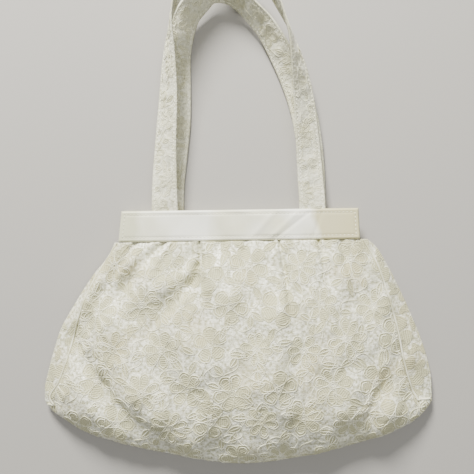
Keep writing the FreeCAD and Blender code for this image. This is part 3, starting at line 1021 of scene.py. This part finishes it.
def strap_cloth(name, line, lace, seed):
    """A closed strip: its two faces meet at the folded edges."""
    count = int(line.far[-1] / 1.1)
    half = 22
    mesh = grid(name, 2 * half, count)
    corner = read_points(mesh)
    turn = corner[:, 0] * 2
    far = corner[:, 1] * line.far[-1]
    upper = turn <= 1
    share = np.where(upper, turn, 2 - turn)
    across = (share * 2 - 1) * STRAP_WIDE / 2
    swell = strap_swell(far, across, seed)
    points = line.at(far, across, np.where(upper, swell, -swell))
    write_points(mesh, points)
    flat = np.where(upper, across, across + UNDER_FLAT)
    add_cloth_map(mesh, flat, far)
    add_lace(mesh, lace, flat, far)
    bm = bmesh.new()
    bm.from_mesh(mesh)
    bmesh.ops.remove_doubles(bm, verts=bm.verts, dist=0.0002 * MM)
    ends = [edge for edge in bm.edges if edge.is_boundary]
    bmesh.ops.holes_fill(bm, edges=ends, sides=0)
    bmesh.ops.recalc_face_normals(bm, faces=bm.faces)
    bm.to_mesh(mesh)
    bm.free()
    return mesh


def strap_outlines(name, line, lace, seed):
    """The lace's corded lines on both faces of a strap."""
    def split(x):
        over = x <= UNDER_FLAT / 2
        return over, np.where(over, x, x - UNDER_FLAT)

    def allowed(x, y):
        across = split(x)[1]
        return (np.abs(across) < 7.2) & (y > 2) & (y < line.far[-1] - 2)

    def place(x, y):
        over, across = split(x)
        lift = strap_swell(y, across, seed) + 0.1
        return line.at(y, across, np.where(over, lift, -lift))
    return outlines(name, lace, place, allowed, 0.2)


def strap_stitching(name, line, seed):
    """A row of stitches along both edges of both faces."""
    bm = bmesh.new()
    marks = np.arange(2.5, line.far[-1] - 2, 2.9)
    for edge in (-1, 1):
        across = np.full_like(marks, edge * (STRAP_WIDE / 2 - STITCH_INSET))
        for face in (-1, 1):
            lift = face * (strap_swell(marks, across, seed) + 0.12)
            ahead = line.at(marks + 1, across, lift) - line.at(marks - 1, across, lift)
            stitches(bm, line.at(marks, across, lift), ahead)
    return finished(bm, name)


def strap(word, stations, seed):
    """One strap with its lace outlines and its stitching, and its length."""
    line = StrapLine(stations)
    lace = Lace(seed)
    for middle in (0, UNDER_FLAT):
        lace.scatter((middle - 8, 6), (middle + 8, line.far[-1]), 25, 9.5)
    cloth = piece(word + "_strap_cloth", strap_cloth(word + "_strap", line, lace, seed), None,
                  STRAP_LACE, word + "_strap")
    threads = piece(word + "_strap_outlines",
                    strap_outlines(word + "_strap_lines", line, lace, seed), None, THREAD)
    sewn = piece(word + "_strap_stitching",
                 strap_stitching(word + "_stitches", line, seed), None, SEWING)
    for item in (cloth, threads, sewn):
        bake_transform(item)
    return cloth, [threads, sewn], line.length


def stitches(bm, places, directions, long=0.95, thick=0.36):
    """Short rounded threads, each lying along its own direction."""
    for place, direction in zip(places, directions):
        made = bmesh.ops.create_icosphere(bm, subdivisions=1, radius=1.0)["verts"]
        turn = Vector(direction).to_track_quat("X", "Z").to_matrix().to_4x4()
        bmesh.ops.scale(bm, verts=made, vec=(long * MM, thick * MM, thick * MM))
        bmesh.ops.transform(bm, verts=made, matrix=turn)
        bmesh.ops.translate(bm, verts=made, vec=Vector(place) * MM)


def finished(bm, name):
    """The mesh of a finished bmesh."""
    mesh = bpy.data.meshes.new(name)
    bm.to_mesh(mesh)
    bm.free()
    return mesh


def band_stitching(name, surface, lift):
    """The oblong of topstitching 3 mm inside a band's edge."""
    bm = bmesh.new()
    wide, tall, inset, pitch = 181.0, 23.3, 3.0, 3.0
    for run, fixed, level in ((wide, tall, inset), (wide, tall, tall - inset),
                              (tall, wide, inset), (tall, wide, wide - inset)):
        marks = np.arange(inset + 1.2, run - inset - 0.8, pitch)
        held = np.full_like(marks, level / fixed)
        if run == wide:
            places = np.stack(surface(marks / wide, held), 1)
            ahead = np.stack(surface((marks + 1) / wide, held), 1) - places
        else:
            places = np.stack(surface(held, marks / tall), 1)
            ahead = np.stack(surface(held, (marks + 1) / tall), 1) - places
        places[:, 2] += lift
        stitches(bm, places, ahead)
    return finished(bm, name)


front_sewing = piece("front_band_stitching",
                     band_stitching("front_band_stitches", band_top, 0.14), "front_band", SEWING)
back_sewing = piece("back_band_stitching",
                    band_stitching("back_band_stitches", band_under, -0.14), "back_band", SEWING)
straps = [strap("front", FRONT_STRAP, 51), strap("back", BACK_STRAP, 61)]

# ---------------------------------------------------------------- the snap
for node_name in ("snap_stud_half", "snap_socket_half", "front_snap_washer", "back_snap_washer"):
    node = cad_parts[node_name]
    for slot in node.material_slots:
        slot.material = NICKEL

# ---------------------------------------------------------------- room, lights, camera
FLOOR_WIDE = 4000
FLOOR_Z = -0.3
PAPER = new_material("matte_paper_floor", {"Base Color": paint("#a9a6a0"), "Roughness": 0.9})[0]
floor_mesh = grid("floor", 2, 2)
floor_plan = (read_points(floor_mesh) - (0.5, 0.5, 0)) * FLOOR_WIDE
write_points(floor_mesh, floor_plan + (0, 0, FLOOR_Z))
floor = piece("floor", floor_mesh, None, PAPER)

world = bpy.data.worlds.new("studio")
bpy.context.scene.world = world
world.use_nodes = True
sky = world.node_tree.nodes["Background"]
sky.inputs["Color"].default_value = (0.93, 0.96, 1.0, 1)
sky.inputs["Strength"].default_value = 0.36

BAG_MIDDLE = (0, 0.05, 0)
DAYLIGHT = (1.0, 0.985, 0.94)


def soft_light(name, place, size, power):
    """A round daylight lamp that looks at the bag's middle."""
    lamp = bpy.data.lights.new(name, "AREA")
    lamp.shape = "DISK"
    lamp.size = size
    lamp.energy = power
    lamp.color = DAYLIGHT
    item = bpy.data.objects.new(name, lamp)
    item.location = place
    item.rotation_euler = (Vector(BAG_MIDDLE) - Vector(place)).to_track_quat("-Z", "Y").to_euler()
    bpy.context.scene.collection.objects.link(item)


soft_light("window", (-0.30, 1.22, 0.70), 0.4, 62)
soft_light("ceiling", (0.35, 0.1, 1.5), 1.2, 9)

# The frame's width and the lens's length in one unit, then the sensor in millimetres.
FRAME = 474
FOCAL = 515
SENSOR = 36
camera_data = bpy.data.cameras.new("camera")
camera_data.sensor_width = SENSOR
camera_data.lens = SENSOR * FOCAL / FRAME
camera_data.clip_start = 0.01
camera = bpy.data.objects.new("camera", camera_data)
camera.location = (-0.0019, 0.085, 0.400)
camera.rotation_euler = (0, 0, math.radians(-0.85))
bpy.context.scene.collection.objects.link(camera)
bpy.context.scene.camera = camera
